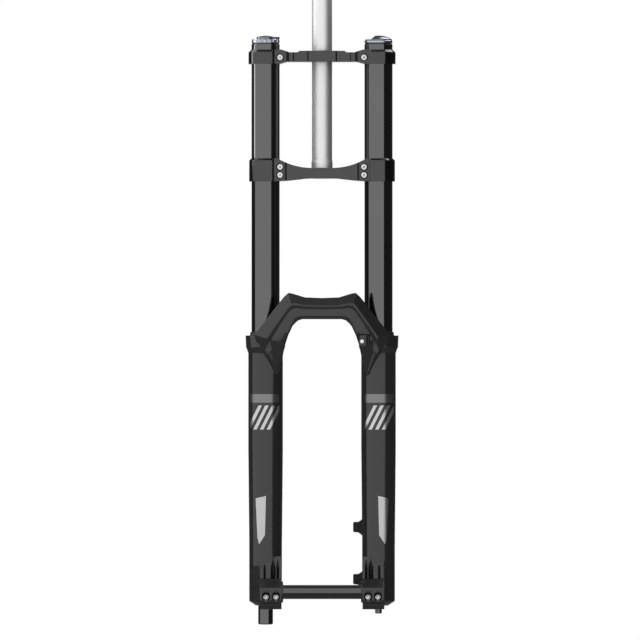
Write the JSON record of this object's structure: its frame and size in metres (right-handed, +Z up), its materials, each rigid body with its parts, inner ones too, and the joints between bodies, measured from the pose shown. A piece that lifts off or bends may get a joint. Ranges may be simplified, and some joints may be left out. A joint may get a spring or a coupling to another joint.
{
  "type": "suspension fork",
  "caption": "Long-travel double-crown bicycle suspension fork with sliding lower legs, front arch, through axle and post brake mount.",
  "frame": {"origin": "on the steerer's axis, at the shoulder of the lower crown where the headset's crown race sits", "axes": "+Z up the steerer, -Y the way the fork's front, arch and axle face, +X towards the brake side (the rider's left)"},
  "size_m": [0.2172, 0.0992, 0.912],
  "materials": {
    "steerer_satin": "bead blasted, uncoated",
    "crown_black": "black anodised, satin",
    "stanchion_black": "black hard anodised, polished",
    "lowers_black": "gloss black paint over cast magnesium",
    "cap_blue_grey": "slate anodised",
    "cap_silver": "clear anodised",
    "dial_slate": "slate anodised, satin",
    "knob_black": "black anodised",
    "axle_black": "black anodised",
    "screw_steel": "bright zinc",
    "nut_steel": "dark zinc",
    "bare_aluminium": "machined",
    "shaft_chrome": "ground and plated",
    "spring_steel": "drawn wire",
    "bronze": "plain bearing bronze, low-friction lining",
    "wiper_rubber": "moulded, semi matt",
    "bumper_rubber": "moulded",
    "oil_foam": "open-cell foam soaked in oil",
    "black_plastic": "moulded",
    "decal_grey": "thin decal film under clear coat"
  },
  "bodies": {
    "uppers": {"steerer": "steerer_satin", "lower_crown": "crown_black", "upper_crown": "crown_black", "lower_crown_screws": "screw_steel", "upper_crown_screws": "screw_steel", "steerer_clamp_screw": "screw_steel", "stanchion_damper_side": "stanchion_black", "stanchion_air_side": "stanchion_black", "damper_cartridge_tube": "bare_aluminium", "damper_top_cap": "cap_silver", "damper_seal_head": "bare_aluminium", "compression_valve": "bare_aluminium", "floating_piston_spring": "spring_steel", "damper_top_out_bumper": "bumper_rubber", "air_top_cap": "cap_silver", "air_valve": "cap_silver", "volume_spacers": "black_plastic", "air_seal_head": "bare_aluminium", "seal_head_retaining_ring": "spring_steel"},
    "lowers": {"lower_leg_casting": "lowers_black", "dust_wiper_damper_side": "wiper_rubber", "dust_wiper_air_side": "wiper_rubber", "foam_rings": "oil_foam", "upper_bushings": "bronze", "lower_bushings": "bronze", "damper_shaft": "shaft_chrome", "damper_piston": "bare_aluminium", "bottom_out_bumpers": "bumper_rubber", "crush_washers": "bare_aluminium", "damper_foot_nut": "nut_steel", "air_foot_nut": "nut_steel", "air_shaft": "shaft_chrome", "air_piston": "bare_aluminium", "air_piston_seal": "bumper_rubber", "air_top_out_bumper": "bumper_rubber", "axle_clamp_screws": "screw_steel", "brake_hose_guide": "black_plastic", "hose_guide_screw": "screw_steel"},
    "axle": {"axle": "axle_black"},
    "rebound_adjuster": {"rebound_knob": "knob_black", "rebound_rod": "bare_aluminium"},
    "compression_adjuster": {"compression_lever": "dial_slate", "compression_needle": "bare_aluminium"},
    "floating_piston": {"floating_piston": "bare_aluminium"},
    "valve_cap": {"valve_cap": "cap_blue_grey"},
    "valve_pin": {"valve_pin": "bronze"}
  },
  "joints": [
    {"name": "fork_travel", "type": "slide", "parent": "uppers", "child": "lowers", "axis": [0, 0, 1], "range_m": [0, 0.203], "stiffness_N_per_m": 6000, "springref_m": -0.02},
    {"name": "floating_piston_slide", "type": "slide", "parent": "uppers", "child": "floating_piston", "axis": [0, 0, 1], "range_m": [0, 0.0296], "deforming": ["floating_piston_spring"]},
    {"name": "axle_slide", "type": "slide", "parent": "lowers", "child": "axle", "axis": [-1, 0, 0], "range_m": [0, 0.175]},
    {"name": "rebound_turn", "type": "hinge", "parent": "lowers", "child": "rebound_adjuster", "pos_m": [-0.08, -0.015, -0.63], "axis": [0, 0, 1], "range_deg": [0, 270]},
    {"name": "compression_turn", "type": "hinge", "parent": "uppers", "child": "compression_adjuster", "pos_m": [-0.08, -0.015, 0.184], "axis": [0, 0, 1], "range_deg": [0, 110]},
    {"name": "valve_cap_slide", "type": "slide", "parent": "uppers", "child": "valve_cap", "axis": [0, 0, 1], "range_m": [0, 0.014]},
    {"name": "valve_pin_press", "type": "slide", "parent": "uppers", "child": "valve_pin", "axis": [0, 0, -1], "range_m": [0, 0.0015], "stiffness_N_per_m": 400, "springref_m": -0.001}
  ],
  "couplings": [
    {"joint": "floating_piston_slide", "follows": "fork_travel", "ratio": 0.14446}
  ]
}
